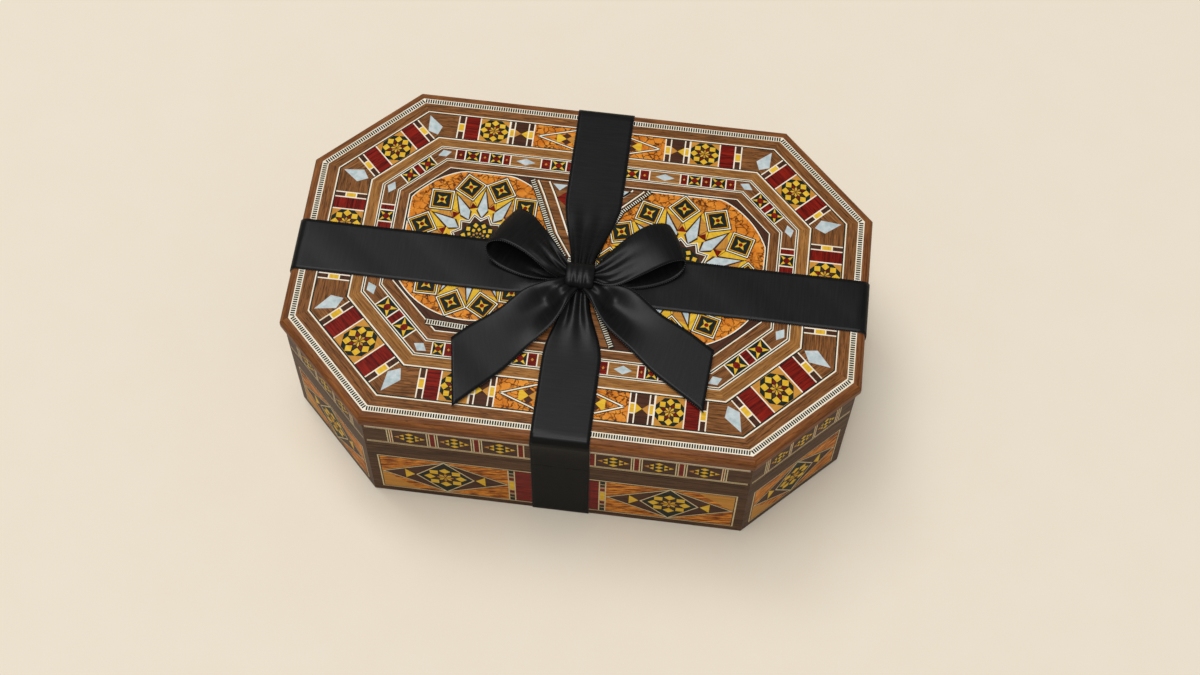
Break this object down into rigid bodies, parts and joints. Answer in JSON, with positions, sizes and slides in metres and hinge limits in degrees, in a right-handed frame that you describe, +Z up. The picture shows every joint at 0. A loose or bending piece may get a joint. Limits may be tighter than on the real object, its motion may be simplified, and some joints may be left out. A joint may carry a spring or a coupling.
{
  "type": "mosaic box",
  "caption": "Octagonal wooden keepsake box inlaid with wood, bone and pearl mosaic, with a hinged lid and a black satin ribbon tied in a bow.",
  "frame": {"origin": "under the middle of the box, on the table", "axes": "+X along the length to the right, -Y to the front, +Z up"},
  "size_m": [0.2512, 0.167, 0.0917],
  "materials": {
    "walnut": "lacquered",
    "light_walnut": "lacquered",
    "burl": "lacquered",
    "padauk": "lacquered",
    "ebony": "lacquered",
    "lemonwood": "lacquered",
    "maple": "lacquered",
    "bone": "polished bone, lacquered",
    "pearl": "mother-of-pearl, polished",
    "brass": "satin",
    "velvet": "short pile",
    "satin": "satin weave"
  },
  "bodies": {
    "base": {"base_back_left_wall": "walnut", "base_back_right_wall": "walnut", "base_back_wall": "walnut", "base_floor": "walnut", "base_front_left_wall": "walnut", "base_front_right_wall": "walnut", "base_front_wall": "walnut", "base_left_wall": "walnut", "base_lining_floor": "velvet", "base_lining_walls": "velvet", "base_panel_burl": "burl", "base_panel_ebony": "ebony", "base_panel_lemonwood": "lemonwood", "base_panel_lines": "bone", "base_panel_padauk": "padauk", "base_panel_strips": "bone", "base_panel_walnut": "walnut", "base_right_wall": "walnut", "hinge_lower_leaves": "brass", "hinge_pins": "brass", "ribbon_base_crosswise": "satin", "ribbon_base_lengthwise": "satin"},
    "lid": {"bow_knot": "satin", "bow_left_loop": "satin", "bow_left_tail": "satin", "bow_right_loop": "satin", "bow_right_tail": "satin", "hinge_upper_leaves": "brass", "lid_back_left_rim": "walnut", "lid_back_right_rim": "walnut", "lid_back_rim": "walnut", "lid_board": "walnut", "lid_front_left_rim": "walnut", "lid_front_right_rim": "walnut", "lid_front_rim": "walnut", "lid_left_rim": "walnut", "lid_lining_top": "velvet", "lid_lining_walls": "velvet", "lid_moulding": "walnut", "lid_right_rim": "walnut", "ribbon_lid_crosswise": "satin", "ribbon_lid_lengthwise": "satin", "rim_diamond_tiles": "ebony", "rim_light_lines": "maple", "rim_padauk_spacers": "padauk", "rim_walnut_blocks": "walnut", "top_block_strips": "bone", "top_bone_lines": "bone", "top_burl_grounds": "burl", "top_ebony_grounds": "ebony", "top_ladder_stringing": "bone", "top_lemonwood_tesserae": "lemonwood", "top_light_banding": "light_walnut", "top_medallion_frames": "bone", "top_padauk_bars": "padauk", "top_pearl_kites": "pearl", "top_walnut_bandings": "walnut", "top_walnut_field": "walnut", "top_walnut_grounds": "walnut"}
  },
  "joints": [
    {"name": "lid", "type": "hinge", "parent": "base", "child": "lid", "pos_m": [0, 0.082, 0.04915], "axis": [-1, 0, 0], "range_deg": [0, 100]}
  ]
}
